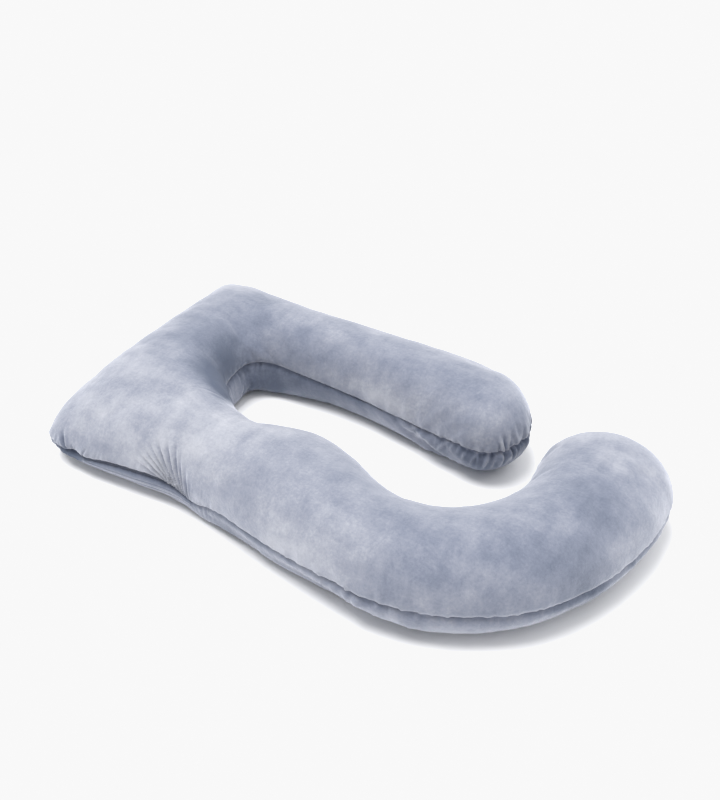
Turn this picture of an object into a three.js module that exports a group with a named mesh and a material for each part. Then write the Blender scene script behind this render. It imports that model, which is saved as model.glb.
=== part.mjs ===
// A G-shaped body pillow in a brushed velvet cover, lying flat on its back panel.
// Sizes are in millimetres. X runs from the head end to the hook, Y from the front arm to the back arm, and
// Z is up.
import * as THREE from 'three';

// Sections across the stuffed tube, in order along it. A section runs from the inner seam, beside the
// hollow, to the outer seam, where the two panels are joined. seam, top and bottom are heights above the
// floor, and a bottom below zero is flattened by the floor. fullness is how square the underside is: 2 is
// round and 4 is nearly upright. innerBulge is how far the lower panel rolls out past it, into the hollow,
// crest is how far over the crest lies, in percent of the way from the inner seam to the outer one, and
// outerFullness how full the top panel is on its outer side.
const COLUMNS = [
  'name', 'innerX', 'innerY', 'outerX', 'outerY', 'seam', 'top', 'bottom', 'fullness', 'innerBulge',
  'crest', 'outerFullness',
];
const SECTIONS = [
  ['arm end', 184, 115, 174, 363, 96, 198, -8, 2.3, 0, 50, 2.15],
  ['arm neck', 110, 131, 110, 376, 86, 196, -14, 2.2, 0, 50, 2.15],
  ['arm middle', -10, 151, -5, 380, 78, 192, -18, 2.0, 0, 50, 2.15],
  ['arm root', -120, 164, -130, 378, 76, 186, -18, 2.0, 0, 50, 2.15],
  ['arm base', -215, 164, -250, 372, 80, 184, -14, 2.1, 0, 50, 2.15],
  ['hollow top', -290, 155, -390, 364, 89, 185, -13, 2.6, 4, 50, 2.15],
  ['far corner start', -350, 151, -505, 363, 94, 186, -12, 3.6, 12, 50, 2.15],
  ['far corner', -390, 138, -600, 366, 95, 187, -11, 4.0, 18, 50, 2.15],
  ['far corner end', -412, 114, -658, 342, 93, 190, -10, 4.0, 20, 50, 2.15],
  ['head far', -416, 84, -659, 240, 88, 198, -12, 4.0, 24, 50, 2.15],
  ['head middle', -412, 48, -660, 120, 84, 202, -14, 4.0, 22, 50, 2.15],
  ['head inner', -399, 18, -664, -10, 80, 204, -16, 4.0, 14, 47, 2.15],
  ['head near', -366, -9, -671, -125, 76, 204, -16, 3.4, 6, 42, 2.1],
  ['near corner start', -336, -31, -677, -225, 66, 204, -14, 2.6, 0, 34, 1.9],
  ['near corner', -304, -52, -660, -316, 54, 202, 6, 2.2, 0, 30, 1.65],
  ['near corner end', -272, -69, -560, -336, 50, 198, 4, 2.2, 0, 33, 1.7],
  ['zip middle', -238, -82, -415, -320, 63, 194, -16, 2.3, 0, 42, 1.9],
  ['zip end', -205, -90, -295, -308, 61, 192, -22, 2.6, 0, 48, 2.0],
  ['pinch', -178, -84, -228, -318, 48, 194, -22, 2.0, 0, 50, 2.15],
  ['bulge start', -132, -68, -165, -326, 66, 197, -20, 2.0, 0, 50, 2.15],
  ['bulge', -55, -52, -60, -348, 72, 202, -16, 2.0, 0, 50, 2.15],
  ['bulge end', 35, -72, 40, -362, 74, 200, -14, 2.0, 0, 50, 2.15],
  ['curve start', 115, -112, 135, -374, 82, 200, -10, 2.0, 0, 50, 2.15],
  ['curve low', 190, -134, 235, -382, 84, 200, -10, 2.0, 0, 50, 2.15],
  ['curve bottom', 255, -126, 342, -364, 84, 202, -14, 2.3, 0, 50, 2.15],
  ['curve rise', 308, -94, 447, -312, 84, 204, -14, 2.3, 0, 50, 2.15],
  ['curve side', 346, -44, 544, -230, 84, 204, -14, 2.1, 0, 50, 2.15],
  ['curve end', 366, 8, 608, -116, 82, 202, -14, 2.0, 0, 50, 2.15],
  ['hook root', 372, 62, 643, 5, 80, 200, -16, 2.0, 0, 50, 2.15],
  ['hook', 366, 115, 654, 95, 80, 198, -16, 2.0, 0, 50, 2.15],
  ['hook end', 360, 172, 650, 180, 80, 194, -16, 2.0, 0, 50, 2.15],
].map((row) => Object.fromEntries(COLUMNS.map((column, i) => [column, row[i]])));

const ARM_CAP = 114; // how far the arm's round end reaches past its last section
const HOOK_CAP = 128;
const TOP_FULLNESS = 2.15;
const LEAST_WIDTH = 0.2; // the share of a section's width that its folds and groove always leave

// The seam is drawn in, so that both panels roll out past it.
const GROOVE_DEPTH = 6;
const GROOVE_WIDTH = 8;

// Folds that fan out over the top panel from the pinch where the zip ends. They are laid out on the
// unrolled panel: start and endAlong are distances along the outer seam from the pinch, negative towards the
// head end, endUp is how far up the panel the fold dies out, and depth and width are its trough's. The first
// one is the crease of the near corner, which is tucked in at the zip's other end.
const FOLD_COLUMNS = ['start', 'endAlong', 'endUp', 'depth', 'width'];
const FOLDS = [
  [-366, -398, 52, 9, 10],
  [-104, -168, 66, 6, 8],
  [-82, -160, 86, 8, 8],
  [-60, -145, 104, 8, 8],
  [-38, -100, 116, 7, 8],
  [-16, -28, 78, 4, 10],
].map((row) => Object.fromEntries(FOLD_COLUMNS.map((column, i) => [column, row[i]])));

// The zip is hidden behind a strip of the cover, between the tucked corner and the pinch. from and to are
// distances along the seam from the pinch, and height is the strip's, down the side below the seam.
const FLAP = { from: -318, to: -14, height: 32, endShare: 0.3, thickness: 2.4, standoff: 0.6 };

const VELVET_COLOUR = 0x9aa1b0;

// Mesh steps
const ROW_STEPS = 3;
const FOLDED_ROW_STEPS = {
  'near corner': 10, 'near corner end': 8, 'zip middle': 18, 'zip end': 10, pinch: 6,
};
const TIP_STEPS = 18; // round each end, from one seam to the other
const PANEL_STEPS = 9; // from the seam to the crest, and from the seam to the underside's middle
const SEAM_CROWDING = 1.5; // above 1, the steps down a profile lie closer near the seam
const FLAP_RINGS = 4;
const LENGTH_STEPS = 12; // for each row, when lengths are measured along the seam
const END_STEP = 0.02; // the part of a row over which an end's direction is taken

const QUARTER_TURN = Math.PI / 2;
const lastRow = SECTIONS.length - 1;
const rowNamed = (name) => SECTIONS.findIndex((row) => row.name === name);
const pinchRow = rowNamed('pinch');
const foldedRows = { from: rowNamed('near corner'), to: rowNamed('bulge start') };
const curve = (point) => new THREE.CatmullRomCurve3(SECTIONS.map(point), false, 'centripetal');
const innerRail = curve((row) => new THREE.Vector3(row.innerX, row.innerY, row.seam));
const outerRail = curve((row) => new THREE.Vector3(row.outerX, row.outerY, row.seam));
const heights = curve((row) => new THREE.Vector3(row.top, row.bottom, row.crest));
const blendRows = (place, column) => {
  const row = Math.min(Math.floor(place), lastRow - 1);
  return THREE.MathUtils.lerp(SECTIONS[row][column], SECTIONS[row + 1][column], place - row);
};

// The section at a place along the rows. It carries its distance along the seam only where there are folds.
function sectionAt(place) {
  const u = place / lastRow;
  const inner = innerRail.getPoint(u);
  const outer = outerRail.getPoint(u);
  const height = heights.getPoint(u);
  const isFolded = place > foldedRows.from && place < foldedRows.to;
  return {
    place,
    inner,
    outer,
    spine: inner.clone().lerp(outer, height.z / 100),
    crown: height.x - outer.z,
    belly: outer.z - height.y,
    fullness: blendRows(place, 'fullness'),
    innerBulge: blendRows(place, 'innerBulge'),
    outerFullness: blendRows(place, 'outerFullness'),
    along: isFolded ? alongSeam(place) : undefined,
  };
}

// Distance along the outer seam from the pinch, negative towards the head end.
function alongSeam(place) {
  const steps = Math.max(Math.ceil(Math.abs(place - pinchRow) * LENGTH_STEPS), 1);
  const points = Array.from({ length: steps + 1 }, (_, i) =>
    outerRail.getPoint(THREE.MathUtils.lerp(pinchRow, place, i / steps) / lastRow));
  const chords = points.slice(1).map((point, i) => point.distanceTo(points[i]));
  const length = chords.reduce((sum, chord) => sum + chord);
  return place < pinchRow ? -length : length;
}

// A profile runs over the stuffed tube from its crest, down past one seam, to the middle of its underside.
const outerProfile = (section) => ({
  ...section,
  seam: section.outer,
  topFullness: section.outerFullness,
  bulge: 0,
});
const innerProfile = (section) => ({
  ...section,
  seam: section.inner,
  topFullness: TOP_FULLNESS,
  bulge: section.innerBulge,
  along: undefined,
});

// Profiles that fan round an end, from the outer seam to the inner one.
function tipProfiles(place, reach) {
  const section = sectionAt(place);
  const inward = place === 0 ? END_STEP : -END_STEP;
  const outward = section.spine.clone().sub(sectionAt(place + inward).spine).setZ(0).normalize();
  const half = section.outer.clone().sub(section.spine);
  return Array.from({ length: TIP_STEPS - 1 }, (_, i) => {
    const turn = (Math.PI * (i + 1)) / TIP_STEPS;
    const seam = section.spine.clone().addScaledVector(half, Math.cos(turn));
    seam.addScaledVector(outward, reach * Math.sin(turn));
    return { ...section, seam, topFullness: TOP_FULLNESS, bulge: 0, along: undefined };
  });
}

// How far a fold sinks the top panel at a point on the unrolled panel, deepest a quarter of the way out.
function troughDepth(fold, along, up) {
  const reach = Math.hypot(fold.endAlong - fold.start, fold.endUp);
  const ahead = { along: (fold.endAlong - fold.start) / reach, up: fold.endUp / reach };
  const run = (along - fold.start) * ahead.along + up * ahead.up;
  const aside = (along - fold.start) * ahead.up - up * ahead.along;
  const share = THREE.MathUtils.clamp(run / reach, 0, 1);
  return fold.depth * Math.sin(Math.PI * Math.sqrt(share)) * Math.exp(-((aside / fold.width) ** 2));
}

// The point of a profile at an angle: 90 degrees is the crest, 0 the seam, -90 the underside's middle.
function profilePoint(profile, angle) {
  const cos = Math.max(Math.cos(angle), 0);
  const sin = Math.sin(angle);
  const isTop = angle >= 0;
  const power = 2 / (isTop ? profile.topFullness : profile.fullness);
  const depth = isTop ? profile.crown : profile.belly;
  const half = profile.seam.clone().sub(profile.spine);
  const halfWidth = half.length();

  const arc = (halfWidth + depth) / 2;
  const groove = GROOVE_DEPTH * Math.exp(-((arc * angle / GROOVE_WIDTH) ** 2));
  const hasFolds = isTop && profile.along !== undefined;
  const sinks = FOLDS.map((fold) => (hasFolds ? troughDepth(fold, profile.along, arc * angle) : 0));
  const sink = sinks.reduce((sum, depth) => sum + depth);
  const swell = isTop ? 0 : profile.bulge * Math.sin(2 * Math.abs(angle));

  const widthLeft = Math.max(1 - (groove + sink * cos) / halfWidth, LEAST_WIDTH);
  const point = profile.spine.clone().addScaledVector(half, cos ** power * widthLeft + swell / halfWidth);
  point.z = profile.seam.z + Math.sign(sin) * Math.abs(sin) ** power * depth - sink * Math.abs(sin);
  point.z = Math.max(point.z, 0);
  return point;
}

// Points down a profile, closer together near the seam.
function profilePoints(profile) {
  const shares = Array.from({ length: PANEL_STEPS + 1 }, (_, i) => (i / PANEL_STEPS) ** SEAM_CROWDING);
  const down = shares.slice(1).map((share) => profilePoint(profile, -QUARTER_TURN * share));
  return [...shares.reverse().map((share) => profilePoint(profile, QUARTER_TURN * share)), ...down];
}

// Places along the rows, closer together where the folds are.
function rowPlaces() {
  const places = [];
  for (let row = 0; row < lastRow; row += 1) {
    const steps = FOLDED_ROW_STEPS[SECTIONS[row].name] ?? ROW_STEPS;
    for (let step = 0; step < steps; step += 1) {
      places.push(row + step / steps);
    }
  }
  places.push(lastRow);
  return places;
}

// Faces are turned to point outwards, whichever way they were listed.
function closedGeometry(points, faces) {
  const cross = new THREE.Vector3();
  let volume = 0;
  for (let i = 0; i < faces.length; i += 3) {
    const [a, b, c] = faces.slice(i, i + 3).map((index) => points[index]);
    volume += a.dot(cross.crossVectors(b, c));
  }
  const geometry = new THREE.BufferGeometry().setFromPoints(points);
  geometry.setIndex(volume < 0 ? faces.reverse() : faces);
  geometry.computeVertexNormals();
  return geometry;
}

// The profiles follow one another round the whole outline. Those of one section share its crest and its
// underside's middle, so the round ends are fans about them.
function pillowGeometry() {
  const sections = rowPlaces().map(sectionAt);
  const profiles = [
    ...sections.map(outerProfile),
    ...tipProfiles(lastRow, HOOK_CAP),
    ...sections.map(innerProfile).reverse(),
    ...tipProfiles(0, ARM_CAP).reverse(),
  ];
  const points = [];
  const shared = new Map();
  const addPoint = (point, key) => {
    if (!shared.has(key)) {
      points.push(point);
      shared.set(key, points.length - 1);
    }
    return shared.get(key);
  };
  const rows = profiles.map((profile, index) => profilePoints(profile).map((point, step, { length }) => {
    const isShared = step === 0 || step === length - 1;
    return addPoint(point, isShared ? `section ${profile.place} ${step}` : `profile ${index} ${step}`);
  }));
  const faces = [];
  rows.forEach((row, index) => {
    const next = rows[(index + 1) % rows.length];
    for (let step = 0; step < row.length - 1; step += 1) {
      const [a, b, c, d] = [row[step], row[step + 1], next[step + 1], next[step]];
      if (b !== c) faces.push(a, b, c);
      if (a !== d) faces.push(a, c, d);
    }
  });
  return closedGeometry(points, faces);
}

// A closed mesh of rings of equal length, with a middle point closing each end.
function ringGeometry(rings) {
  const size = rings[0].length;
  const points = [...rings.flat(), centreOf(rings[0]), centreOf(rings[rings.length - 1])];
  const start = rings.length * size;
  const end = start + 1;
  const faces = [];
  for (let side = 0; side < size; side += 1) {
    const next = (side + 1) % size;
    for (let ring = 0; ring < rings.length - 1; ring += 1) {
      const a = ring * size + side;
      const b = ring * size + next;
      faces.push(a, b, b + size, a, b + size, a + size);
    }
    faces.push(start, next, side);
    faces.push(end, start - size + side, start - size + next);
  }
  return closedGeometry(points, faces);
}

function centreOf(points) {
  return points.reduce((sum, point) => sum.add(point), new THREE.Vector3()).divideScalar(points.length);
}

// A thin strip that lies against the side just below the outer seam, widest midway.
function flapGeometry() {
  const sections = rowPlaces().map(sectionAt).filter(({ along }) => along >= FLAP.from && along <= FLAP.to);
  const rings = sections.map(outerProfile).map((profile) => {
    const half = profile.seam.clone().sub(profile.spine);
    const arc = (half.length() + profile.belly) / 2;
    const share = (profile.along - FLAP.from) / (FLAP.to - FLAP.from);
    const height = FLAP.height * (FLAP.endShare + (1 - FLAP.endShare) * Math.sin(Math.PI * share));
    const outward = half.setZ(0).normalize();
    const backFace = [];
    const frontFace = [];
    for (let ring = 0; ring <= FLAP_RINGS; ring += 1) {
      const angle = -(GROOVE_WIDTH + height * (ring / FLAP_RINGS)) / arc;
      const normal = outward.clone().multiplyScalar(Math.cos(angle)).setZ(Math.sin(angle));
      const point = profilePoint(profile, angle);
      backFace.push(point.clone().addScaledVector(normal, FLAP.standoff));
      frontFace.push(point.clone().addScaledVector(normal, FLAP.standoff + FLAP.thickness));
    }
    return [...backFace, ...frontFace.reverse()];
  });
  return ringGeometry(rings);
}

function velvetPiece(name, geometry) {
  const velvet = new THREE.MeshStandardMaterial({ color: VELVET_COLOUR, roughness: 0.95, metalness: 0 });
  const mesh = new THREE.Mesh(geometry, velvet);
  mesh.name = name;
  return mesh;
}

const pillow = velvetPiece('pillow', pillowGeometry());
const zipFlap = velvetPiece('zip_flap', flapGeometry());

// The origin is on the floor, under the middle of the pillow's box.
const centre = new THREE.Box3().setFromObject(pillow).getCenter(new THREE.Vector3()).setZ(0);
[pillow, zipFlap].forEach((mesh) => mesh.geometry.translate(-centre.x, -centre.y, 0));

const bodyPillow = new THREE.Group();
bodyPillow.name = 'body_pillow';
bodyPillow.add(pillow, zipFlap);

export default bodyPillow;
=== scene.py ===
"""A G-shaped body pillow in a brushed velvet cover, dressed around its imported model.

The tables are in millimetres, as the part's are, and MM turns them into metres. The cover is laid out as
profiles. Each one runs over the stuffed tube from its crest, down past the seam, to the middle of its
underside, and the profiles follow one another round the whole outline: along the outer seam, round the
hook's tip, back along the inner seam and round the arm's tip.
"""
import math

import bpy
import numpy as np
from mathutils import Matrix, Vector, noise


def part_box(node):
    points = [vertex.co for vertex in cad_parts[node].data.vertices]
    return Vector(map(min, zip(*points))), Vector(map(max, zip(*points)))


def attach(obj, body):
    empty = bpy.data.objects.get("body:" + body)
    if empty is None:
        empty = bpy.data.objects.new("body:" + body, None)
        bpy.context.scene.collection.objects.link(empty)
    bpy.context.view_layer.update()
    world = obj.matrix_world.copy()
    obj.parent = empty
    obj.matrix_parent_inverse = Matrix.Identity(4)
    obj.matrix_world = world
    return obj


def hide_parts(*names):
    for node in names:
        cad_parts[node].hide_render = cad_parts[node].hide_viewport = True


MM = 0.001

# Sections across the stuffed tube, as in the part: the inner seam beside the hollow, the outer seam, the
# heights of the seam, the top and the underside before the floor flattens it, how square that is, how far
# the lower panel rolls out into the hollow, how far over from the inner seam the crest is, in percent, and
# how full the top panel is towards the outer seam.
SECTION_COLUMNS = (
    "name", "inner_x", "inner_y", "outer_x", "outer_y", "seam", "top", "bottom", "fullness", "inner_bulge",
    "crest", "outer_fullness",
)
SECTIONS = (
    ("arm end", 184, 115, 174, 363, 96, 198, -8, 2.3, 0, 50, 2.15),
    ("arm neck", 110, 131, 110, 376, 86, 196, -14, 2.2, 0, 50, 2.15),
    ("arm middle", -10, 151, -5, 380, 78, 192, -18, 2.0, 0, 50, 2.15),
    ("arm root", -120, 164, -130, 378, 76, 186, -18, 2.0, 0, 50, 2.15),
    ("arm base", -215, 164, -250, 372, 80, 184, -14, 2.1, 0, 50, 2.15),
    ("hollow top", -290, 155, -390, 364, 89, 185, -13, 2.6, 4, 50, 2.15),
    ("far corner start", -350, 151, -505, 363, 94, 186, -12, 3.6, 12, 50, 2.15),
    ("far corner", -390, 138, -600, 366, 95, 187, -11, 4.0, 18, 50, 2.15),
    ("far corner end", -412, 114, -658, 342, 93, 190, -10, 4.0, 20, 50, 2.15),
    ("head far", -416, 84, -659, 240, 88, 198, -12, 4.0, 24, 50, 2.15),
    ("head middle", -412, 48, -660, 120, 84, 202, -14, 4.0, 22, 50, 2.15),
    ("head inner", -399, 18, -664, -10, 80, 204, -16, 4.0, 14, 47, 2.15),
    ("head near", -366, -9, -671, -125, 76, 204, -16, 3.4, 6, 42, 2.1),
    ("near corner start", -336, -31, -677, -225, 66, 204, -14, 2.6, 0, 34, 1.9),
    ("near corner", -304, -52, -660, -316, 54, 202, 6, 2.2, 0, 30, 1.65),
    ("near corner end", -272, -69, -560, -336, 50, 198, 4, 2.2, 0, 33, 1.7),
    ("zip middle", -238, -82, -415, -320, 63, 194, -16, 2.3, 0, 42, 1.9),
    ("zip end", -205, -90, -295, -308, 61, 192, -22, 2.6, 0, 48, 2.0),
    ("pinch", -178, -84, -228, -318, 48, 194, -22, 2.0, 0, 50, 2.15),
    ("bulge start", -132, -68, -165, -326, 66, 197, -20, 2.0, 0, 50, 2.15),
    ("bulge", -55, -52, -60, -348, 72, 202, -16, 2.0, 0, 50, 2.15),
    ("bulge end", 35, -72, 40, -362, 74, 200, -14, 2.0, 0, 50, 2.15),
    ("curve start", 115, -112, 135, -374, 82, 200, -10, 2.0, 0, 50, 2.15),
    ("curve low", 190, -134, 235, -382, 84, 200, -10, 2.0, 0, 50, 2.15),
    ("curve bottom", 255, -126, 342, -364, 84, 202, -14, 2.3, 0, 50, 2.15),
    ("curve rise", 308, -94, 447, -312, 84, 204, -14, 2.3, 0, 50, 2.15),
    ("curve side", 346, -44, 544, -230, 84, 204, -14, 2.1, 0, 50, 2.15),
    ("curve end", 366, 8, 608, -116, 82, 202, -14, 2.0, 0, 50, 2.15),
    ("hook root", 372, 62, 643, 5, 80, 200, -16, 2.0, 0, 50, 2.15),
    ("hook", 366, 115, 654, 95, 80, 198, -16, 2.0, 0, 50, 2.15),
    ("hook end", 360, 172, 650, 180, 80, 194, -16, 2.0, 0, 50, 2.15),
)
LAST_ROW = len(SECTIONS) - 1
PINCH_ROW = [row[0] for row in SECTIONS].index("pinch")

# How far the rounded tips reach past the end sections, how full the top panel is there and towards the
# hollow, the step along the rows that gives a tip its direction, and how softly the floor flattens the
# underside.
ARM_CAP = 114
HOOK_CAP = 128
TOP_FULLNESS = 2.15
END_STEP = 0.02
FLOOR_SOFTNESS = 9

# Profiles that aren't on the outer seam are given this distance along it, from the pinch.
FAR_OFF = 1e6

# Mesh steps along the outer seam: finer by the folds, from FINE_FROM to FINE_TO along it from the pinch, and
# in the first ARM_FINE_ROWS of the sections, by the arm's tip. Each row is measured at ROW_SAMPLES places.
OUTLINE_STEP = 7.4
FINE_STEP = 2.3
FINE_FROM = -400
FINE_TO = 40
FINE_BLEND = 60
ARM_FINE_STEP = 4.2
ARM_FINE_ROWS = 1.6
ROW_SAMPLES = 200

# Mesh steps round the tips, and down a profile from its crest to the seam and from there to the underside's
# middle. They are closer by the seam, and each profile is measured at CURVE_SAMPLES places on either panel.
ARM_TIP_STEPS = 92
HOOK_TIP_STEPS = 36
TOP_STEPS = 44
BOTTOM_STEPS = 28
SEAM_CROWDING = 1.55
CURVE_SAMPLES = 120

# The seam is drawn in between the two panels, with a sharp line at its bottom and a rolled welt above it.
GROOVE_DEPTH = 7.0
GROOVE_ABOVE = 7.0
GROOVE_BELOW = 9.0
SEAM_CUT = 2.6
SEAM_CUT_WIDTH = 1.6
SEAM_WELT = 1.3
SEAM_WELT_AT = 4.5
SEAM_WELT_WIDTH = 2.4

# The crease over the zip's flap: its depth and width, and its middle and reach along the seam.
ZIP_GROOVE = 8
ZIP_GROOVE_WIDTH = 5
ZIP_GROOVE_AT = -165
ZIP_GROOVE_REACH = 150

# The share of wrinkles and puckers that is left behind the flap, and that place's middle and reach.
ZIP_CALM = 0.2
ZIP_CALM_AT = -160
ZIP_CALM_REACH = 175

# The tucked near corner's pocket: its depth, and its place and reach along the seam and up from it.
CORNER_POCKET = 15
POCKET_ALONG = -346
POCKET_UP = 2
POCKET_REACH = 20
POCKET_REACH_UP = 7

# The cover's unevenness: the size of the bumps, the noise's seed and their height.
LUMPS = (
    (120, 1, 2.0),
    (46, 2, 0.9),
    (17, 6, 0.25),
)

# Places that the stuffing fills out past the plain form: x, y, reach and height.
SWELLS = (
    (300, 255, 60, 7),
)

# Three folds at the tucked near corner and nine that fan out from the pinch where the zip ends, more of them
# and sharper than the part's. They are laid out on the unrolled top panel: where each starts on the outer
# seam, where it dies out, along and up, its depth and its width.
FOLDS = (
    (-356, -402, 52, 9.0, 6.0),
    (-340, -356, 30, 5.0, 5.0),
    (-316, -306, 34, 3.0, 5.0),
    (-78, -178, 38, 4.5, 4.4),
    (-66, -174, 58, 7.0, 4.2),
    (-56, -167, 74, 9.0, 4.2),
    (-47, -160, 88, 11.0, 4.4),
    (-38, -148, 102, 12.5, 4.6),
    (-29, -126, 112, 11.0, 4.4),
    (-21, -98, 114, 9.5, 4.6),
    (-14, -66, 92, 7.0, 4.4),
    (-8, -34, 76, 5.0, 5.0),
)

# The share of its width that a fold starts with, the length over which it widens, how steep its sides are,
# how near its start it is deepest, and the height and place of the low shoulders either side of it.
FOLD_START_WIDTH = 0.35
FOLD_WIDENING = 70
FOLD_STEEPNESS = 1.6
FOLD_BIAS = 0.55
SHOULDER_HEIGHT = 0.42
SHOULDER_AT = 1.6

# Creases by the arm's tip, with the same columns on the unrolled panels, but measured round the whole
# outline. The lower panel's run down, below zero, and a depth below zero is a ridge.
CREASE_START_WIDTH = 0.8
CREASES = (
    (5526, 5511, 50, -5.0, 4.6),
    (5534, 5541, 50, -4.2, 4.4),
    (5529, 5526, 46, 4.0, 4.4),
    (5478, 5470, 24, 2.4, 4.4),
    (5592, 5600, 40, -2.4, 5.0),
    (5640, 5646, 50, 2.6, 6.0),
    (5436, 5422, -52, -3.2, 5.0),
    (5462, 5444, -58, -4.4, 4.6),
    (5490, 5478, -60, -5.0, 4.6),
    (5506, 5500, -56, -3.6, 4.4),
    (5524, 5522, -58, -5.2, 4.4),
    (5546, 5554, -54, -3.6, 4.6),
    (5380, 5350, -48, -3.0, 6.0),
    (5300, 5262, -46, 3.0, 7.0),
)

# Soft dents in the unrolled top panel: how far along and up they are, their reach and how far they stand out,
# which is below zero.
DENTS = (
    (56, 72, 16, -2.4),
    (101, 80, 15, -2.0),
    (-344, 6, 16, -6.0),
)

# The zip's flap: distances along the seam from the pinch, how far below the seam it starts, its height, the
# share of that height left at its ends, how far its face and its back are from the panel, how far it is kept
# above the floor, and its mesh steps down.
FLAP_FROM = -318
FLAP_TO = -12
FLAP_START = 5
FLAP_HEIGHT = 34
FLAP_END_SHARE = 0.3
FLAP_FACE = 0.4
FLAP_BACK = -1.5
FLAP_FLOOR = 0.5
FLAP_STEPS = 30

# How far the flap's pleats stand out, from its top edge to its rim, and how they drift up and down and swell
# along it: the amount, the length of the waves and the noise's seed.
FLAP_PLEATS = (
    (0, 0.2), (0.06, 1.8), (0.2, 2.8), (0.3, 2.4), (0.35, 0.8), (0.41, 2.2), (0.55, 3.0), (0.66, 2.4),
    (0.71, 0.6), (0.77, 2.4), (0.88, 3.4), (0.96, 2.8), (1.0, 0.4),
)
FLAP_DRIFT = (0.04, 60, 31)
FLAP_WAVE = (0.3, 30, 32)

# The cloth copy that gives the cover its wrinkles: the stuffing's pressure, how far the seam draws together,
# the frames it runs for, how far a point may move, the passes that find the smooth part that isn't kept, and
# the height below which the copy is held. It starts with bumps of this size and height, with seeds for x, y
# and z.
CLOTH_PRESSURE = 4
SEAM_SHRINK = 0.12
CLOTH_FRAMES = 20
CLOTH_CAP = 14
CLOTH_SMOOTHING = 12
HELD_BELOW = 3
START_BUMP_SIZE = 30
START_BUMP_SEEDS = (11, 12, 13)
START_BUMP_HEIGHT = 1.5

# Puckers that run up from the seam, by the places round which they gather: x, y, reach and depth.
PUCKER_PLACES = (
    (225, 130, 90, 1.5),
    (270, 300, 110, 1.8),
    (-470, 130, 90, 1.6),
    (-290, -310, 70, 0.8),
    (-640, -300, 90, 0.9),
    (250, -370, 160, 2.2),
    (460, -300, 120, 1.4),
    (330, 150, 130, 2.2),
    (560, 290, 120, 1.4),
    (-650, 350, 70, 2.0),
    (-350, 10, 90, -0.9),
    (-190, 130, 90, -0.5),
)

# The puckers' depth away from those places, the gain on all of them and on the lower panel's, their spacing
# and length, and a shift in the noise that makes the two panels' puckers differ. Then the finer ones among
# them, as an amount and how many times closer they are, how far the valleys sink, the share of its depth that
# a pucker starts with at the seam, and how far up it has all of it. Last, how far up puckers reach, by what
# share that changes along the seam, and over what length.
PUCKER_BASE = 0.8
PUCKER_GAIN = 1.8
LOWER_PUCKERS = 1.4
PUCKER_SPACING = 13
PUCKER_LENGTH = 70
PANEL_SHIFT = 7.3
FINE_PUCKERS = 0.5
FINE_PUCKER_SHARE = 1.9
PUCKER_VALLEY = 0.45
PUCKER_START = 0.35
PUCKER_START_UP = 5
PUCKER_REACH = 30
REACH_CHANGE = 0.5
REACH_CHANGE_SPACING = 60

# Broad patches where the pile is brushed one way: x, y, half length, half width, turn in degrees, and how
# much lighter or darker it looks. The small dark one at the tucked near corner is painted shade in its
# pocket.
NAP_PATCHES = (
    (-590, -190, 170, 100, 60, 0.5),
    (-650, 60, 260, 40, 90, 0.3),
    (-620, 310, 90, 60, 0, 0.7),
    (-435, 40, 110, 60, 100, -0.7),
    (-392, 20, 90, 45, 122, -1.1),
    (-540, 0, 90, 24, 25, -0.55),
    (-560, 90, 80, 22, 20, -0.4),
    (-470, 190, 130, 60, 80, -0.1),
    (-150, 190, 240, 40, 0, -0.45),
    (-260, 300, 160, 50, 0, -0.1),
    (30, 165, 170, 28, -5, 0.7),
    (60, 290, 150, 60, 5, 0.1),
    (-370, -190, 150, 90, 30, 0.5),
    (-450, -270, 110, 60, 20, 0.5),
    (-350, -300, 90, 40, 0, 0.4),
    (-240, -230, 80, 70, 0, 0.8),
    (-120, -190, 170, 90, -20, 0.6),
    (-330, -65, 85, 34, 124, -1.1),
    (-375, -60, 70, 50, 124, -0.5),
    (40, -210, 80, 50, -10, -0.4),
    (50, -375, 130, 45, -20, 0.35),
    (-245, -355, 60, 30, 0, 0.8),
    (150, -320, 90, 30, -15, 0.5),
    (330, -330, 90, 45, 20, -0.45),
    (240, -240, 80, 40, -20, -0.3),
    (450, -190, 90, 60, 60, -0.3),
    (570, -170, 60, 50, 45, -0.6),
    (600, -130, 60, 50, 60, -0.4),
    (515, 10, 60, 70, 80, -0.8),
    (595, -60, 60, 40, 80, -0.3),
    (420, 60, 60, 60, 80, -0.3),
    (520, 190, 90, 60, 0, 0.5),
    (640, 110, 70, 40, 90, 0.2),
    (210, 300, 60, 60, 0, -0.1),
    (285, 265, 60, 45, 90, -0.5),
    (298, 290, 70, 24, 90, -0.6),
    # Painted shade in the tucked near corner's pocket.
    (-600, -332, 34, 14, 0, -1.2),
)

# The same on the lower panel alone, as round patches: x, y, reach and amount. The panel is darkened all over
# from a short way below the seam, a painted shade for a panel that faces down, and these patches make that
# painted shade lighter or darker in places.
LOWER_PAINTED_SHADE = 0.7
LOWER_SHADE_BLEND = 6
LOWER_PATCHES = (
    (-425, 60, 60, 0.7),
    (-330, 160, 70, -0.3),
    (215, 120, 70, -0.7),
    (310, 200, 70, -0.35),
    (150, -370, 150, 0.2),
    (330, -370, 150, 0.5),
    (470, -290, 120, 0.7),
    (580, -170, 90, 0.6),
    (-140, -320, 120, -0.2),
)

# The same next to the seam, on the unrolled panels: distance round the outline, up from the seam, the reach
# each way and the amount. The dark one at the tucked near corner is painted shade in its pocket.
SEAM_PATCHES = (
    (4700, 30, 100, 42, -0.4),
    (4690, 112, 130, 62, -0.2),
    (4600, 125, 70, 50, -0.8),
    (4725, -34, 62, 50, 1.6),
    (4860, -34, 80, 44, -0.5),
    (5130, 34, 150, 28, 0.9),
    # Painted shade in the tucked near corner's pocket.
    (1597, -14, 28, 15, -1.7),
    (1840, 46, 60, 40, 0.6),
    (2290, 34, 120, 30, 0.7),
)

# The same all over, as noise: the size of the patches, the noise's seed and their amount.
NAP_NOISE = (
    (95, 21, 0.4),
    (38, 22, 0.35),
)
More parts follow.
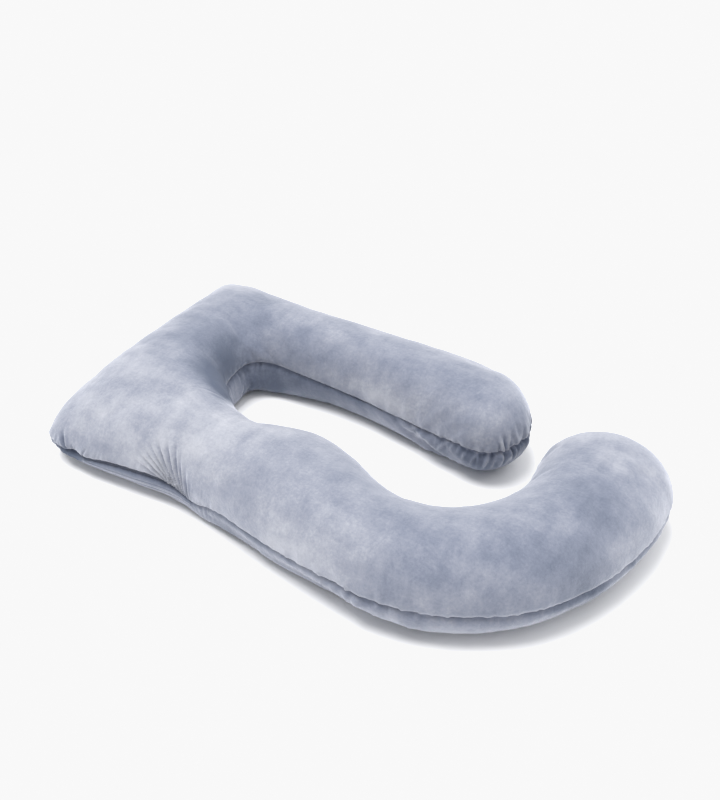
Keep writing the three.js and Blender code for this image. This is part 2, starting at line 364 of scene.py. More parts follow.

# Painted light: how much painted highlight each millimetre of a pucker's rise gives and how much painted
# shade each millimetre of its valley gives, the painted highlight along the welt, how much painted shade each
# millimetre of a fold or a crease and the crease over the flap gives, with a painted highlight where a crease
# is a ridge, and the same across the flap, from its top edge to its rim: painted shade in its creases and a
# painted highlight on its rim.
PUCKER_PAINTED_LIGHT = 0.08
WELT_HIGHLIGHT = 0.4
WELT_HIGHLIGHT_AT = 3
WELT_HIGHLIGHT_WIDTH = 2
FOLD_PAINTED_SHADE = 0.09
CREASE_PAINTED_LIGHT = 0.3
ZIP_PAINTED_SHADE = 0.8
FLAP_PAINTED_LIGHT = (
    (0, -1.2), (0.12, -0.8), (0.28, -0.5), (0.35, -1.3), (0.42, 0.1), (0.6, 0.2), (0.7, -0.9), (0.77, 0.2),
    (0.9, 0.6), (1.0, 0.4),
)

# How the brushed pile and the painted shade and highlights above colour the velvet, from its dark side to its
# light side, and how much is added by the patches and painted shade and highlights above and by three
# textures.
VELVET_TONES = (
    (0.0, (92, 100, 117)),
    (0.35, (116, 122, 138)),
    (0.6, (136, 140, 153)),
    (1.0, (168, 170, 178)),
)
NAP_AND_PAINTED_LIGHT_GAIN = 0.36
NAP_MIDDLE = 0.26
NAP_STREAKS = 0.34
NAP_FINE = 0.28

# The velvet's noise textures: scale for each metre, detail and roughness, and for the streaks how they are
# stretched and turned, in degrees. The contrast of three of them follows.
MIDDLE_TEXTURE = (13, 4, 0.62)
CROSSWISE_STREAKS = (46, 4, 0.65, (1, 0.3, 0.6), 35)
LENGTHWISE_STREAKS = (40, 4, 0.65, (0.3, 1, 0.6), 12)
STREAKS_MIX = (5, 1, 0.5)
FINE_TEXTURE = (170, 4, 0.75)
CRUSH_TEXTURE = (75, 4, 0.6)
PILE_TEXTURE = (700, 3, 0.6)
MIDDLE_CONTRAST = 2.5
STREAKS_CONTRAST = 2.2
FINE_CONTRAST = 2

# Bumps of the crushed cloth and of the pile: strength, and height in metres.
CRUSH_BUMP = (0.5, 0.0025)
PILE_BUMP = (0.4, 0.0008)

# The pile's sheen: its colour, its strength where the pile isn't brushed, how much brushing it light or a
# painted highlight adds, and the least that is left where it is brushed dark or painted shade darkens it.
SHEEN_COLOUR = (236, 238, 246)
SHEEN_STRENGTH = 1.32
SHEEN_NAP = 0.6
SHEEN_LEAST = 0.1

# The ground, in metres, with its colour.
FLOOR_HALF = 30
FLOOR_DROP = 0.0005
FLOOR_COLOUR = (0.95, 0.95, 0.955, 1)

# The sky's strength, two suns as elevation, azimuth from the front, spread, all in degrees, and strength, and
# how light white comes out.
SKY_STRENGTH = 0.68
KEY_LIGHT = (74, 258, 34, 3.2)
FILL_LIGHT = (52, 100, 60, 1.1)
WHITE_POINT = 0.94

# The camera, read back from the pillow's outline: angles in degrees, place in the tables' frame.
CAMERA_ELEVATION = 36.2
CAMERA_AZIMUTH = 33.0
CAMERA_PLACE = (1050, -1625, 1640)
CAMERA_LENS = 50
CAMERA_SENSOR = 36


def column(name):
    """One column of the sections' table."""
    index = SECTION_COLUMNS.index(name)
    return np.array([row[index] for row in SECTIONS], dtype=float)


def catmull_rom(points, places):
    """Centripetal Catmull-Rom through points, at places counted in points, as the part's curves run."""
    padded = np.vstack([2 * points[0] - points[1], points, 2 * points[-1] - points[-2]])
    start = np.clip(np.floor(places).astype(int), 0, len(points) - 2)
    t = (places - start)[:, None]
    p0, p1, p2, p3 = (padded[start + k] for k in range(4))

    def knot(a, b):
        return np.maximum(np.sum((a - b) ** 2, axis=1, keepdims=True) ** 0.25, 1e-4)

    d0, d1, d2 = knot(p0, p1), knot(p1, p2), knot(p2, p3)
    leave = ((p1 - p0) / d0 - (p2 - p0) / (d0 + d1) + (p2 - p1) / d1) * d1
    arrive = ((p2 - p1) / d1 - (p3 - p1) / (d1 + d2) + (p3 - p2) / d2) * d1
    square = -3 * p1 + 3 * p2 - 2 * leave - arrive
    cube = 2 * p1 - 2 * p2 + leave + arrive
    return p1 + leave * t + square * t ** 2 + cube * t ** 3


INNER_SEAM = np.stack([column("inner_x"), column("inner_y"), column("seam")], axis=1)
OUTER_SEAM = np.stack([column("outer_x"), column("outer_y"), column("seam")], axis=1)
HEIGHTS = np.stack([column("top"), column("bottom"), column("crest")], axis=1)


def running_length(points):
    """The length of a line up to each of its points."""
    return np.r_[0, np.cumsum(np.linalg.norm(np.diff(points, axis=0), axis=1))]


def section_places():
    """Places along the rows, evenly spaced on the outer seam, but closer by the folds and the arm's tip."""
    dense = np.linspace(0, LAST_ROW, ROW_SAMPLES * LAST_ROW + 1)
    length = running_length(catmull_rom(OUTER_SEAM, dense))
    along = length - np.interp(PINCH_ROW, dense, length)
    outside = np.maximum(np.maximum(FINE_FROM - along, along - FINE_TO), 0)
    step = FINE_STEP + (OUTLINE_STEP - FINE_STEP) * np.clip(outside / FINE_BLEND, 0, 1)
    step = np.where(dense < ARM_FINE_ROWS, np.minimum(step, ARM_FINE_STEP), step)
    count = np.r_[0, np.cumsum(np.diff(length) / step[1:])]
    pairs = int(round(count[-1] / 2))
    return np.interp(np.linspace(0, count[-1], 2 * pairs + 1), count, dense)


def outline_profiles():
    """The profiles round the outline, as arrays with one row each."""
    places = section_places()
    outer = catmull_rom(OUTER_SEAM, places)
    inner = catmull_rom(INNER_SEAM, places)
    heights = catmull_rom(HEIGHTS, places)
    fullness = np.interp(places, np.arange(LAST_ROW + 1), column("fullness"))
    inner_bulge = np.interp(places, np.arange(LAST_ROW + 1), column("inner_bulge"))
    outer_fullness = np.interp(places, np.arange(LAST_ROW + 1), column("outer_fullness"))
    even_fullness = np.full(len(places), TOP_FULLNESS)
    no_bulge = np.zeros(len(places))
    spine = inner + (outer - inner) * heights[:, 2:] / 100
    along = running_length(outer)
    along -= np.interp(PINCH_ROW, places, along)
    far_off = np.full(len(places), FAR_OFF)

    def stretch(order, seam, seam_along, bulge, crown):
        """Profiles that follow one another: the section each belongs to, and its own point on the seam."""
        return {
            "seam": seam, "spine": spine[order], "heights": heights[order], "bulge": bulge[order],
            "crown": crown[order], "fullness": fullness[order], "crest": order, "along": seam_along[order],
        }

    def tip(index, place, reach, steps):
        """The profiles round a tip, which all share the end section's crest."""
        turns = np.linspace(0, math.pi, steps + 1)[1:-1]
        if place == 0:
            turns = turns[::-1]
        ends = np.array([place, place + (END_STEP if place == 0 else -END_STEP)], dtype=float)
        middles = (catmull_rom(OUTER_SEAM, ends) + catmull_rom(INNER_SEAM, ends)) / 2
        outward = middles[0] - middles[1]
        outward[2] = 0
        outward /= np.linalg.norm(outward)
        half = outer[index] - spine[index]
        seam = spine[index] + np.cos(turns)[:, None] * half + np.sin(turns)[:, None] * outward * reach
        same = np.full(len(turns), index % len(places))
        return stretch(same, seam, far_off, no_bulge, even_fullness)

    forwards = np.arange(len(places))
    parts = [
        stretch(forwards, outer, along, no_bulge, outer_fullness),
        tip(-1, LAST_ROW, HOOK_CAP, HOOK_TIP_STEPS),
        stretch(forwards[::-1], inner[::-1], far_off, inner_bulge, even_fullness),
        tip(0, 0, ARM_CAP, ARM_TIP_STEPS),
    ]
    profiles = {key: np.concatenate([part[key] for part in parts]) for key in parts[0]}
    closed = np.vstack([profiles["seam"], profiles["seam"][:1]])
    profiles["loop"] = running_length(closed)[:-1]
    profiles["sections"] = len(places)
    return profiles


def profile_grid(profiles):
    """Points down each profile, closer by the seam, and each point's distance up from the seam."""
    angles = np.linspace(0, math.pi / 2, CURVE_SAMPLES)
    seam_z = profiles["seam"][:, 2:3]
    reach = profiles["seam"][:, None, :2] - profiles["spine"][:, None, :2]
    outward = reach / np.linalg.norm(reach, axis=2, keepdims=True)
    panels = (
        (profiles["heights"][:, :1] - seam_z, profiles["crown"][:, None], 1, TOP_STEPS),
        (seam_z - profiles["heights"][:, 1:2], profiles["fullness"][:, None], -1, BOTTOM_STEPS),
    )
    grids, ups = [], []
    for depth, fullness, sign, steps in panels:
        aside = np.cos(angles)[None, :] ** (2 / fullness)
        aside[:, -1] = 0
        rise = np.sin(angles)[None, :] ** (2 / fullness)
        z = seam_z + sign * depth * rise
        z = (z + np.sqrt(z ** 2 + FLOOR_SOFTNESS ** 2)) / 2
        z -= (np.sqrt(seam_z ** 2 + FLOOR_SOFTNESS ** 2) - seam_z) / 2
        if sign < 0:
            z -= z[:, -1:] * (1 - z / seam_z)
        swell = profiles["bulge"][:, None] * np.sin(2 * angles)[None, :] * (sign < 0)
        plan = profiles["spine"][:, None, :2] + reach * aside[:, :, None] + outward * swell[:, :, None]
        points = np.concatenate([plan, z[:, :, None]], axis=2)
        share = np.linspace(0, 1, steps + 1) ** SEAM_CROWDING
        grid = np.empty((len(points), steps + 1, 3))
        up = np.empty((len(points), steps + 1))
        for i, line in enumerate(points):
            length = running_length(line)
            up[i] = share * length[-1]
            for axis in range(3):
                grid[i, :, axis] = np.interp(up[i], length, line[:, axis])
        grids.append(grid)
        ups.append(sign * up)
    grid = np.concatenate([grids[0][:, ::-1], grids[1][:, 1:]], axis=1)
    up = np.concatenate([ups[0][:, ::-1], ups[1][:, 1:]], axis=1)
    return grid, up


def grid_faces(profiles, columns):
    """Vertex numbers for each grid point, sharing the crest and the underside's middle, and the faces."""
    rows = len(profiles["crest"])
    sections = profiles["sections"]
    numbers = np.empty((rows, columns), dtype=int)
    numbers[:, 0] = profiles["crest"]
    numbers[:, -1] = sections + profiles["crest"]
    numbers[:, 1:-1] = 2 * sections + np.arange(rows * (columns - 2)).reshape(rows, columns - 2)
    after = np.roll(numbers, -1, axis=0)
    quads = np.stack([numbers[:, :-1], numbers[:, 1:], after[:, 1:], after[:, :-1]], axis=2).reshape(-1, 4)
    faces = [tuple(dict.fromkeys(quad)) for quad in quads.tolist()]
    return numbers, [face for face in faces if len(face) > 2]


def vertex_normals(points, faces):
    """The outward or inward direction at each point, as its faces wind."""
    triangles = [face[:3] for face in faces]
    triangles += [(face[0], face[2], face[3]) for face in faces if len(face) == 4]
    corners = np.array(triangles)
    a, b, c = (points[corners[:, k]] for k in range(3))
    face_normals = np.cross(b - a, c - a)
    normals = np.zeros_like(points)
    for k in range(3):
        np.add.at(normals, corners[:, k], face_normals)
    return normals / np.maximum(np.linalg.norm(normals, axis=1, keepdims=True), 1e-9)


def spread(grid, numbers):
    """Values of the grid as one row for each vertex."""
    flat = np.zeros((numbers.max() + 1,) + grid.shape[2:])
    flat[numbers.reshape(-1)] = grid.reshape((-1,) + grid.shape[2:])
    return flat


def noise_at(points, size, seed):
    """Smooth noise from -1 to 1 at points in millimetres, with bumps of about that size."""
    shift = Vector((seed * 17.3, seed * 5.1, seed * 9.7))
    return np.array([noise.noise(Vector(p) / size + shift) for p in points.tolist()])


def noise_sum(points, layers):
    """Noise of several sizes added up, from a table of sizes, seeds and amounts."""
    return sum(amount * noise_at(points, size, seed) for size, seed, amount in layers)


def add_patches(values, first, second, patches):
    """Adds round patches to values, from a table of places, reaches and amounts."""
    for at_first, at_second, reach, amount in patches:
        values += amount * np.exp(-((first - at_first) ** 2 + (second - at_second) ** 2) / reach ** 2)
    return values


def trough(fold, along, up, start_width):
    """How far a fold sinks the panel, with low shoulders either side of it."""
    start, end_along, end_up, depth, width = fold
    reach = math.hypot(end_along - start, end_up)
    ahead = ((end_along - start) / reach, end_up / reach)
    run = (along - start) * ahead[0] + up * ahead[1]
    width = width * (start_width + (1 - start_width) * np.clip(run / FOLD_WIDENING, 0, 1))
    aside = ((along - start) * ahead[1] - up * ahead[0]) / width
    share = np.clip(run / reach, 0, 1)
    shape = np.exp(-np.abs(aside) ** FOLD_STEEPNESS)
    shape = shape - SHOULDER_HEIGHT * np.exp(-(np.abs(aside) - SHOULDER_AT) ** 2)
    return depth * np.sin(np.pi * share ** FOLD_BIAS) * shape


def pucker_depth(points, up, loop):
    """Small ripples that stand up from the seam on both panels, gathered round a few places."""
    amount = np.full(len(points), PUCKER_BASE)
    amount = add_patches(amount, points[:, 0], points[:, 1], PUCKER_PLACES)
    height = np.abs(up)
    waves = np.stack([loop / PUCKER_SPACING, height / PUCKER_LENGTH, np.sign(up) * PANEL_SHIFT], axis=1)
    finer = waves * (FINE_PUCKER_SHARE, 1, 1)
    round_outline = np.stack([loop, 0 * loop, 0 * loop], axis=1)
    reach = PUCKER_REACH * (1 + REACH_CHANGE * noise_at(round_outline, REACH_CHANGE_SPACING, 5))
    ripple = 2 * np.abs(noise_at(waves, 1, 3)) - PUCKER_VALLEY + FINE_PUCKERS * noise_at(finer, 1, 4)
    fade = np.exp(-((height / reach) ** 1.5)) * np.clip(height / PUCKER_START_UP, PUCKER_START, 1)
    return np.where(up < 0, LOWER_PUCKERS, 1) * amount * PUCKER_GAIN * ripple * fade


def fold_depth(along, up):
    """How far the folds by the pinch sink the top panel."""
    sink = sum(trough(fold, along, up, FOLD_START_WIDTH) for fold in FOLDS)
    return np.where((up >= 0) & (along < FAR_OFF), sink, 0)


def crease_depth(loop, up):
    """How far the creases by the arm's tip sink either panel."""
    sink = np.zeros(len(up))
    for crease in CREASES:
        end_up = crease[2]
        sink += np.where(up * end_up >= 0, trough(crease, loop, up, CREASE_START_WIDTH), 0)
    return sink


def pocket(along, up):
    """The tucked corner's pocket, from 0 to 1."""
    rise = np.exp(-((up - POCKET_UP) / POCKET_REACH_UP) ** 2)
    return rise * np.exp(-((along - POCKET_ALONG) / POCKET_REACH) ** 2)


def zip_groove(along, up):
    """The crease over the zip's flap, under the top panel's edge, from 0 to 1."""
    rise = np.exp(-(up / ZIP_GROOVE_WIDTH) ** 2)
    return rise * np.exp(-((along - ZIP_GROOVE_AT) / ZIP_GROOVE_REACH) ** 4)


def zip_calm(along, up):
    """Less than 1 on the lower panel behind the zip's flap, which is flatter than the rest."""
    behind = np.exp(-((along - ZIP_CALM_AT) / ZIP_CALM_REACH) ** 6)
    return np.where(up < 0, 1 - (1 - ZIP_CALM) * behind, 1)


def cover_offsets(points, along, up, puckers, folds):
    """How far the cover stands out from the stuffed form, in millimetres, at each vertex."""
    out = noise_sum(points, LUMPS)
    width = np.where(up >= 0, GROOVE_ABOVE, GROOVE_BELOW)
    out -= GROOVE_DEPTH * np.exp(-(up / width) ** 2) + SEAM_CUT * np.exp(-np.abs(up) / SEAM_CUT_WIDTH)
    out += SEAM_WELT * np.exp(-((up - SEAM_WELT_AT) / SEAM_WELT_WIDTH) ** 2)
    out -= ZIP_GROOVE * zip_groove(along, up)
    out -= CORNER_POCKET * pocket(along, up)
    out = add_patches(out, points[:, 0], points[:, 1], SWELLS)
    out = add_patches(out, along, up, DENTS)
    return out + puckers - folds


def smoothed(values, passes):
    """Grid values averaged with their neighbours, round the outline and down the profiles."""
    for _ in range(passes):
        values = (np.roll(values, 1, axis=0) + 2 * values + np.roll(values, -1, axis=0)) / 4
        padded = np.concatenate([values[:, :1], values, values[:, -1:]], axis=1)
        values = (padded[:, :-2] + 2 * values + padded[:, 2:]) / 4
    return values


def doubled(values):
    """Grid values at twice the steps, round the outline and down the profiles."""
    rows = np.empty((2 * len(values),) + values.shape[1:])
    near = values + np.roll(values, -1, axis=0)
    far = np.roll(values, 1, axis=0) + np.roll(values, -2, axis=0)
    rows[0::2] = values
    rows[1::2] = (9 * near - far) / 16
    columns = np.empty((len(rows), 2 * rows.shape[1] - 1) + rows.shape[2:])
    columns[:, 0::2] = rows
    columns[:, 1::2] = (rows[:, :-1] + rows[:, 1:]) / 2
    return columns


def stuffing_wrinkles(profiles, grid):
    """The wrinkles of a cloth copy of the form, blown up by its stuffing while its seam draws together."""
    coarse = {key: value[::2] for key, value in profiles.items() if key != "sections"}
    coarse["crest"] = coarse["crest"] // 2
    coarse["sections"] = (profiles["sections"] + 1) // 2
    coarse_grid = grid[::2, ::2]
    numbers, faces = grid_faces(coarse, coarse_grid.shape[1])
    points = spread(coarse_grid, numbers)
    bumps = [noise_at(points, START_BUMP_SIZE, seed) for seed in START_BUMP_SEEDS]
    points += START_BUMP_HEIGHT * np.stack(bumps, axis=1)
    copy = new_object("stuffed_copy", points * MM, faces)

    seam = copy.vertex_groups.new(name="seam")
    seam.add(numbers[:, TOP_STEPS // 2].tolist(), 1, "REPLACE")
    held = copy.vertex_groups.new(name="held")
    held.add(np.nonzero(points[:, 2] < HELD_BELOW)[0].tolist(), 1, "REPLACE")
    cloth = copy.modifiers.new("stuffing", "CLOTH").settings
    cloth.quality = 6
    cloth.mass = 0.3
    cloth.tension_stiffness = 20
    cloth.compression_stiffness = 20
    cloth.shear_stiffness = 8
    cloth.bending_stiffness = 0.3
    cloth.use_pressure = True
    cloth.uniform_pressure_force = CLOTH_PRESSURE
    cloth.effector_weights.gravity = 0
    cloth.vertex_group_mass = "held"
    cloth.vertex_group_shrink = "seam"
    cloth.shrink_max = SEAM_SHRINK

    scene = bpy.context.scene
    for step in range(1, CLOTH_FRAMES + 1):
        scene.frame_set(step)
    solved = copy.evaluated_get(bpy.context.evaluated_depsgraph_get()).data
    after = np.empty(3 * len(points))
    solved.vertices.foreach_get("co", after)
    scene.frame_set(1)
    data = copy.data
    bpy.data.objects.remove(copy)
    bpy.data.meshes.remove(data)

    moved = after.reshape(-1, 3) / MM - points
    length = np.linalg.norm(moved, axis=1, keepdims=True)
    moved *= np.minimum(1, CLOTH_CAP / np.maximum(length, 1e-6))
    moved = moved[numbers]
    wrinkles = moved - smoothed(moved, CLOTH_SMOOTHING)
    return doubled(wrinkles)


def cover_mesh():
    """The cover's points in millimetres, its faces, how its pile is brushed with painted shade and highlights
    added, and the grid it is made on.
    """
    profiles = outline_profiles()
    grid, up = profile_grid(profiles)
    calm = zip_calm(profiles["along"][:, None], up)
    grid = grid + stuffing_wrinkles(profiles, grid) * calm[:, :, None]
    numbers, faces = grid_faces(profiles, grid.shape[1])
    points = spread(grid, numbers)
    ups = spread(up, numbers)
    along = spread(np.repeat(profiles["along"][:, None], grid.shape[1], axis=1), numbers)
    loop = spread(np.repeat(profiles["loop"][:, None], grid.shape[1], axis=1), numbers)
    normals = vertex_normals(points, faces)
    if np.sum(normals[:, 2] * (points[:, 2] - points[:, 2].mean())) < 0:
        faces = [face[::-1] for face in faces]
        normals = -normals
    puckers = pucker_depth(points, ups, loop) * zip_calm(along, ups)
    folds = fold_depth(along, ups)
    creases = crease_depth(loop, ups)
    # Painted light: pucker rises get a painted highlight and their valleys painted shade, folds, creases and
    # the crease over the flap get painted shade, and ridges get a painted highlight.
    nap_and_painted_light = patchy_nap_and_painted_light(points, ups) + PUCKER_PAINTED_LIGHT * puckers - FOLD_PAINTED_SHADE * folds - CREASE_PAINTED_LIGHT * creases
    nap_and_painted_light -= ZIP_PAINTED_SHADE * zip_groove(along, ups)
    for at, at_up, reach, reach_up, amount in SEAM_PATCHES:
        nap_and_painted_light += amount * np.exp(-((loop - at) / reach) ** 2 - ((ups - at_up) / reach_up) ** 2)
    points = points + normals * cover_offsets(points, along, ups, puckers, folds + creases)[:, None]
    points[:, 2] = np.maximum(points[:, 2], 0)
    return {"points": points, "faces": faces, "nap_and_painted_light": nap_and_painted_light, "numbers": numbers, "up": up, "profiles": profiles}


def waver(along, amount, length, seed):
    """A slow change along the seam."""
    return amount * noise.noise(Vector((along / length, 0, seed)))


def flap_mesh(cover):
    """The zip's flap, a closed strip on the lower panel with two lengthwise pleats: points, faces, and the
    painted shade in its creases and painted highlight on its rim.
    """
    sections = cover["profiles"]["sections"]
    along = cover["profiles"]["along"][:sections]
    chosen = np.nonzero((along >= FLAP_FROM) & (along <= FLAP_TO))[0]
    normals = vertex_normals(cover["points"], cover["faces"])
    lower = slice(TOP_STEPS, None)
    offsets_at, offsets = zip(*FLAP_PLEATS)
    across = np.linspace(0, 1, FLAP_STEPS + 1)
    # Painted shade in the flap's creases and a painted highlight on its rim.
    painted_at, painted_amounts = zip(*FLAP_PAINTED_LIGHT)
    pile_and_painted_light = np.interp(across, painted_at, painted_amounts)
    rings = []
    for row in chosen:
        vertices = cover["numbers"][row, lower]
        down = -cover["up"][row, lower]
        share = (along[row] - FLAP_FROM) / (FLAP_TO - FLAP_FROM)
        swell = math.sin(math.pi * share)
        height = FLAP_HEIGHT * (FLAP_END_SHARE + (1 - FLAP_END_SHARE) * swell)
        drift = waver(along[row], *FLAP_DRIFT)
        wave = waver(along[row], *FLAP_WAVE)
        at = FLAP_START + height * across
        base, outward = (
            np.stack([np.interp(at, down, values[vertices, axis]) for axis in range(3)], axis=1)
            for values in (cover["points"], normals)
        )
        raised = np.interp(across + drift * np.sin(np.pi * across), offsets_at, offsets)
        raised = FLAP_FACE + (raised + wave * np.sin(np.pi * across)) * math.sqrt(swell)
        front = base + outward * raised[:, None]
        back = base + outward * FLAP_BACK
        rings.append(np.concatenate([front, back[::-1]]))
    size = len(rings[0])
    points = np.concatenate(rings)
    points[:, 2] = np.maximum(points[:, 2], FLAP_FLOOR)
    faces = []
    for ring in range(len(rings) - 1):
        for side in range(size):
            a = ring * size + side
            b = ring * size + (side + 1) % size
            faces.append((a, b, b + size, a + size))
    faces.append(tuple(range(size))[::-1])
    faces.append(tuple(range(len(points) - size, len(points))))
    return points, faces, np.tile(np.concatenate([pile_and_painted_light, pile_and_painted_light[::-1]]), len(rings))


def patchy_nap_and_painted_light(points, up):
    """How the pile is brushed in patches, with a painted highlight along the welt and painted shade over the
    lower panel, from about -1 where it looks dark to 1 where it looks light.
    """
    value = np.zeros(len(points))
    for x, y, length, width, turn, amount in NAP_PATCHES:
        turn = math.radians(turn)
        dx, dy = points[:, 0] - x, points[:, 1] - y
        run = (dx * math.cos(turn) + dy * math.sin(turn)) / length
        aside = (dy * math.cos(turn) - dx * math.sin(turn)) / width
        value += amount * np.exp(-(run ** 2 + aside ** 2))
    value += noise_sum(points, NAP_NOISE)
    # A painted highlight along the welt.
    value += WELT_HIGHLIGHT * np.exp(-((up - WELT_HIGHLIGHT_AT) / WELT_HIGHLIGHT_WIDTH) ** 2)
    # Painted shade over the lower panel, which faces down, lightened or darkened in places by the patches.
    lower = np.full(len(points), -LOWER_PAINTED_SHADE)
    lower = add_patches(lower, points[:, 0], points[:, 1], LOWER_PATCHES)
    return value + lower * np.clip(-up / LOWER_SHADE_BLEND, 0, 1)


def form_shift(points):
    """From the tables' frame to the model's, whose origin is under the middle of the pillow's box."""
    low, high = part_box("pillow")
    middle = (points.min(axis=0) + points.max(axis=0)) / 2
    return Vector((
        (low[0] + high[0]) / 2 - middle[0] * MM,
        (low[1] + high[1]) / 2 - middle[1] * MM,
        0,
    ))


def new_object(name, points, faces):
    """A smooth-shaded object in the scene, from points in metres."""
    mesh = bpy.data.meshes.new(name)
    mesh.from_pydata([tuple(p) for p in points], [], faces)
    mesh.validate()
    mesh.polygons.foreach_set("use_smooth", [True] * len(mesh.polygons))
    mesh.update()
    thing = bpy.data.objects.new(name, mesh)
    bpy.context.scene.collection.objects.link(thing)
    return thing


def velvet_piece(name, velvet, shift, points, faces, nap_and_painted_light):
    """A piece of velvet, from points in the tables' frame and how its pile is brushed, with its painted shade
    and highlights, at each of them.
    """
    piece = new_object(name, points * MM + np.array(shift), faces)
    piece.data.materials.append(velvet)
    piece.data.attributes.new("nap_and_painted_light", "FLOAT", "POINT").data.foreach_set("value", nap_and_painted_light)
    return piece


def srgb(red, green, blue):
    """A colour given in display values from 0 to 255, as the linear colour that a shader takes."""
    def linear(value):
        value /= 255
        return value / 12.92 if value <= 0.04045 else ((value + 0.055) / 1.055) ** 2.4
    return (linear(red), linear(green), linear(blue), 1.0)


def velvet_material():
    """Short-pile velvet, lighter or darker as its pile is brushed and where shade and highlights are painted
    into its colour, with a crushed surface and a sheen.
    """
    material = bpy.data.materials.new("brushed_velvet")
    material.use_nodes = True
    nodes, links = material.node_tree.nodes, material.node_tree.links
    shader = nodes["Principled BSDF"]
    shader.inputs["Roughness"].default_value = 0.92
    shader.inputs["Specular IOR Level"].default_value = 0.08
    shader.inputs["Sheen Roughness"].default_value = 0.5
    shader.inputs["Sheen Tint"].default_value = srgb(*SHEEN_COLOUR)

    coordinates = nodes.new("ShaderNodeTexCoord")

    def noise_texture(scale, detail, roughness, stretch=(1, 1, 1), turn=0):
        mapping = nodes.new("ShaderNodeMapping")
        mapping.inputs["Rotation"].default_value = (0, 0, math.radians(turn))
        mapping.inputs["Scale"].default_value = stretch
        links.new(coordinates.outputs["Object"], mapping.inputs["Vector"])
        texture = nodes.new("ShaderNodeTexNoise")
        texture.inputs["Scale"].default_value = scale
        texture.inputs["Detail"].default_value = detail
        texture.inputs["Roughness"].default_value = roughness
        links.new(mapping.outputs["Vector"], texture.inputs["Vector"])
        return texture.outputs["Fac"]

    def maths(operation, first, second):
        node = nodes.new("ShaderNodeMath")
        node.operation = operation
        for socket, value in zip(node.inputs, (first, second)):
            if isinstance(value, (int, float)):
                socket.default_value = value
            else:
                links.new(value, socket)
        return node.outputs["Value"]

    def clamped(value, least, most):
        node = nodes.new("ShaderNodeClamp")
        node.inputs["Min"].default_value = least
        node.inputs["Max"].default_value = most
        links.new(value, node.inputs["Value"])
        return node.outputs["Result"]

    def centred(texture, contrast):
        """A noise texture's values round zero, from -0.5 to 0.5."""
        round_zero = maths("SUBTRACT", noise_texture(*texture), 0.5)
        return clamped(maths("MULTIPLY", round_zero, contrast), -0.5, 0.5)

    def bump(texture, strength, distance):
        node = nodes.new("ShaderNodeBump")
        node.inputs["Strength"].default_value = strength
        node.inputs["Distance"].default_value = distance
        links.new(noise_texture(*texture), node.inputs["Height"])
        return node

    # The attribute holds the pile's patches together with the painted shade and highlights.
    pile_and_painted_light = nodes.new("ShaderNodeAttribute")
    pile_and_painted_light.attribute_name = "nap_and_painted_light"
    amount = maths("MULTIPLY", pile_and_painted_light.outputs["Fac"], NAP_AND_PAINTED_LIGHT_GAIN)
    streaks = nodes.new("ShaderNodeMix")
    links.new(noise_texture(*STREAKS_MIX), streaks.inputs["Factor"])
    links.new(centred(CROSSWISE_STREAKS, STREAKS_CONTRAST), streaks.inputs["A"])
    links.new(centred(LENGTHWISE_STREAKS, STREAKS_CONTRAST), streaks.inputs["B"])
    layers = (
        (centred(MIDDLE_TEXTURE, MIDDLE_CONTRAST), NAP_MIDDLE),
        (streaks.outputs["Result"], NAP_STREAKS),
        (centred(FINE_TEXTURE, FINE_CONTRAST), NAP_FINE),
    )
    for layer, gain in layers:
        amount = maths("ADD", amount, maths("MULTIPLY", layer, gain))
    amount = maths("ADD", amount, 0.5)
    ramp = nodes.new("ShaderNodeValToRGB")
    for element, (place, colour) in zip(ramp.color_ramp.elements, (VELVET_TONES[0], VELVET_TONES[-1])):
        element.position = place
        element.color = srgb(*colour)
    for place, colour in VELVET_TONES[1:-1]:
        ramp.color_ramp.elements.new(place).color = srgb(*colour)
    links.new(amount, ramp.inputs["Fac"])
    links.new(ramp.outputs["Color"], shader.inputs["Base Color"])

    # The sheen weight follows the same value, so painted shade weakens it too.
    sheen = maths("ADD", maths("MULTIPLY", pile_and_painted_light.outputs["Fac"], SHEEN_NAP), SHEEN_STRENGTH)
    links.new(clamped(sheen, SHEEN_LEAST, 1), shader.inputs["Sheen Weight"])

    crush = bump(CRUSH_TEXTURE, *CRUSH_BUMP)
    pile = bump(PILE_TEXTURE, *PILE_BUMP)
    links.new(crush.outputs["Normal"], pile.inputs["Normal"])
    links.new(pile.outputs["Normal"], shader.inputs["Normal"])
    return material


def floor_material():
    """A matt, almost white ground."""
    material = bpy.data.materials.new("pale_floor")
    material.use_nodes = True
    shader = material.node_tree.nodes["Principled BSDF"]
    shader.inputs["Base Color"].default_value = FLOOR_COLOUR
    shader.inputs["Roughness"].default_value = 1.0
    shader.inputs["Specular IOR Level"].default_value = 0.0
    return material


def add_camera(shift):
    """The camera that sees the pillow as the photo does."""
    data = bpy.data.cameras.new("camera")
    data.lens = CAMERA_LENS
    data.sensor_fit = "AUTO"
    data.sensor_width = CAMERA_SENSOR
    camera = bpy.data.objects.new("camera", data)
    elevation, azimuth = math.radians(CAMERA_ELEVATION), math.radians(CAMERA_AZIMUTH)
    camera.rotation_euler = (math.pi / 2 - elevation, 0, azimuth)
    camera.location = Vector(CAMERA_PLACE) * MM + shift
    bpy.context.scene.collection.objects.link(camera)
    bpy.context.scene.camera = camera


def add_floor():
    """The ground, a little below the pillow's underside."""
    corners = [(x * FLOOR_HALF, y * FLOOR_HALF, 0) for x, y in ((-1, -1), (1, -1), (1, 1), (-1, 1))]
    mesh = bpy.data.meshes.new("floor")
    mesh.from_pydata(corners, [], [(0, 1, 2, 3)])
    mesh.materials.append(floor_material())
    floor = bpy.data.objects.new("floor", mesh)
    floor.location.z = -FLOOR_DROP
    bpy.context.scene.collection.objects.link(floor)


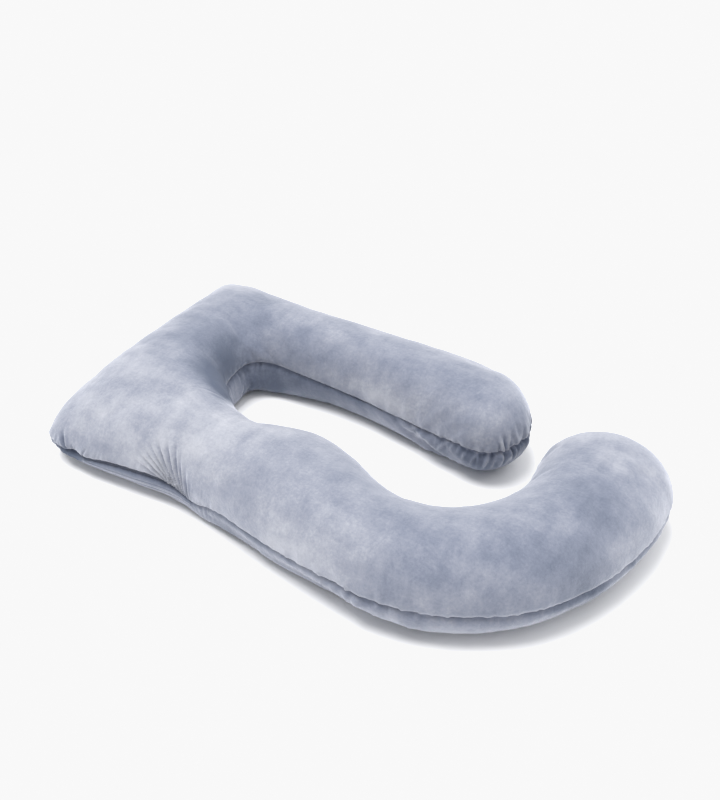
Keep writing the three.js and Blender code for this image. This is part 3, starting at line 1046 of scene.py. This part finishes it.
def add_sun(name, elevation, azimuth, spread_angle, strength):
    """A broad light from far off: azimuth is counted from the front, towards the right."""
    data = bpy.data.lights.new(name, "SUN")
    data.energy = strength
    data.angle = math.radians(spread_angle)
    light = bpy.data.objects.new(name, data)
    up, turn = math.radians(elevation), math.radians(azimuth + CAMERA_AZIMUTH)
    towards = Vector((math.sin(turn) * math.cos(up), -math.cos(turn) * math.cos(up), math.sin(up)))
    light.rotation_euler = towards.to_track_quat("Z", "Y").to_euler()
    bpy.context.scene.collection.objects.link(light)


def add_lights():
    """An even sky and two suns, and a tone curve that keeps white just short of full."""
    world = bpy.data.worlds.new("studio")
    world.use_nodes = True
    background = world.node_tree.nodes["Background"]
    background.inputs["Color"].default_value = (1, 1, 1, 1)
    background.inputs["Strength"].default_value = SKY_STRENGTH
    bpy.context.scene.world = world
    add_sun("key", *KEY_LIGHT)
    add_sun("fill", *FILL_LIGHT)

    settings = bpy.context.scene.view_settings
    settings.view_transform = "Standard"
    settings.use_curve_mapping = True
    settings.curve_mapping.extend = "HORIZONTAL"
    combined_curve = settings.curve_mapping.curves[3]
    combined_curve.points[1].location = (1, WHITE_POINT)
    settings.curve_mapping.update()


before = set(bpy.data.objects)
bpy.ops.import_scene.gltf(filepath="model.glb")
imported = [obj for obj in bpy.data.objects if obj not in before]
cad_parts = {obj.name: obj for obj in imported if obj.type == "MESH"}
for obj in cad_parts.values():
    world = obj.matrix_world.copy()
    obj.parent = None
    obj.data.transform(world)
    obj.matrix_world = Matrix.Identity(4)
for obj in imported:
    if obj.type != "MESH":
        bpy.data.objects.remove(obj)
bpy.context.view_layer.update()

velvet = velvet_material()
cover = cover_mesh()
shift = form_shift(cover["points"])
velvet_cover = velvet_piece("velvet_cover", velvet, shift, cover["points"], cover["faces"], cover["nap_and_painted_light"])
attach(velvet_cover, "root")
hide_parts("pillow")

zip_flap = velvet_piece("velvet_zip_flap", velvet, shift, *flap_mesh(cover))
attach(zip_flap, "root")
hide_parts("zip_flap")

add_floor()
add_lights()
add_camera(shift)

bpy.context.view_layer.update()
